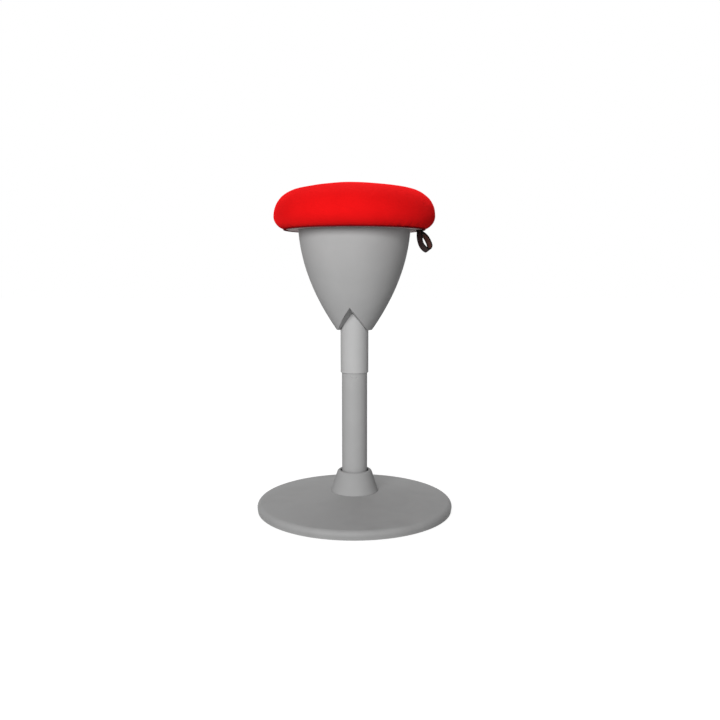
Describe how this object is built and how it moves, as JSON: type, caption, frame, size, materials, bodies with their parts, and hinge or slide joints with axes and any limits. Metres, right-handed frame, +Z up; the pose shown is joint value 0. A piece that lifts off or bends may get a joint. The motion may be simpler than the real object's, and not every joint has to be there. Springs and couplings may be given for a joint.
{
  "type": "wobble stool",
  "caption": "Wobble stool with a round red cushion, a conical seat shell with V notches, a sprung tilting gas-lift column and a domed foot disc.",
  "frame": {"origin": "on the floor at the centre of the foot disc", "axes": "+Z up along the column at rest, -Y towards the front of the stool as pictured, +X to the side where the pull strap hangs"},
  "size_m": [0.387, 0.387, 0.6385],
  "materials": {
    "grey_plastic": "fine-textured moulded mid-grey plastic",
    "grey_paint": "satin mid-grey powder coat",
    "sleeve_grey": "smooth light-grey moulded tube",
    "pan_grey": "light warm-grey moulded pan",
    "rubber_grey": "matt grey rubber",
    "rubber_black": "matt black rubber",
    "steel": "bright zinc-plated steel",
    "cast_iron": "black painted casting",
    "chrome": "hard-chromed ground rod",
    "black_steel": "black lacquered steel",
    "bush_plastic": "natural acetal",
    "plywood": "birch plywood",
    "foam": "moulded foam",
    "red_fabric": "bright red woven wool-like upholstery",
    "hem": "dark red elastic hem",
    "leather": "dark brown leather, red-brown flesh side"
  },
  "bodies": {
    "base": {"base_shell": "grey_plastic", "ballast_plate": "cast_iron", "ballast_screws": "steel", "floor_ring": "rubber_black", "joint_cup": "steel", "clamp_ring": "steel", "cup_screws": "steel", "lower_rubber": "rubber_black", "upper_rubber": "rubber_black", "collar_boot": "rubber_grey"},
    "tilt_link": {"tilt_washer": "steel", "middle_rubber": "rubber_black"},
    "column": {"column_foot": "steel", "column_tube": "grey_paint", "guide_bush": "bush_plastic", "thrust_washer_low": "steel", "thrust_balls": "steel", "ball_cage": "bush_plastic"},
    "rod": {"piston_rod": "chrome", "rod_clip": "steel", "thrust_washer_high": "steel", "bump_stop": "rubber_black", "piston": "steel", "piston_ring": "rubber_black"},
    "seat": {"gas_cylinder": "black_steel", "cylinder_end_guide": "bush_plastic", "upper_sleeve": "sleeve_grey", "sleeve_glide": "bush_plastic", "cone_shell": "grey_plastic", "cone_screws": "steel", "under_pan": "pan_grey", "pan_screws": "steel", "seat_plate": "black_steel", "plate_bolts": "steel", "tee_nuts": "steel", "seat_board": "plywood", "seat_foam": "foam", "seat_cover": "red_fabric", "cover_hem": "hem", "lever_bracket": "black_steel", "lever_pin": "steel"},
    "lever": {"release_lever": "black_steel", "pull_strap": "leather", "strap_rivet": "steel"},
    "button": {"release_button": "steel"}
  },
  "joints": [
    {"name": "tilt_forward", "type": "hinge", "parent": "base", "child": "tilt_link", "pos_m": [0, 0, 0.0165], "axis": [1, 0, 0], "range_deg": [-5, 5], "stiffness_Nm_per_rad": 700, "deforming": ["lower_rubber", "collar_boot"]},
    {"name": "tilt_sideways", "type": "hinge", "parent": "tilt_link", "child": "column", "pos_m": [0, 0, 0.0165], "axis": [0, 1, 0], "range_deg": [-5, 5], "stiffness_Nm_per_rad": 700, "deforming": ["middle_rubber", "upper_rubber"]},
    {"name": "seat_swivel", "type": "hinge", "parent": "column", "child": "rod", "pos_m": [0, 0, 0.042], "axis": [0, 0, 1], "continuous": true},
    {"name": "seat_height", "type": "slide", "parent": "rod", "child": "seat", "axis": [0, 0, 1], "range_m": [-0.175, 0]},
    {"name": "lever_pull", "type": "hinge", "parent": "seat", "child": "lever", "pos_m": [-0.05, 0, 0.563], "axis": [0, 1, 0], "range_deg": [0, 2.6], "stiffness_Nm_per_rad": 15, "springref_deg": -1.72},
    {"name": "button_press", "type": "slide", "parent": "seat", "child": "button", "axis": [0, 0, 1], "range_m": [-0.0025, 0]}
  ],
  "couplings": [
    {"joint": "button_press", "follows": "lever_pull", "m_per_rad": -0.05}
  ]
}
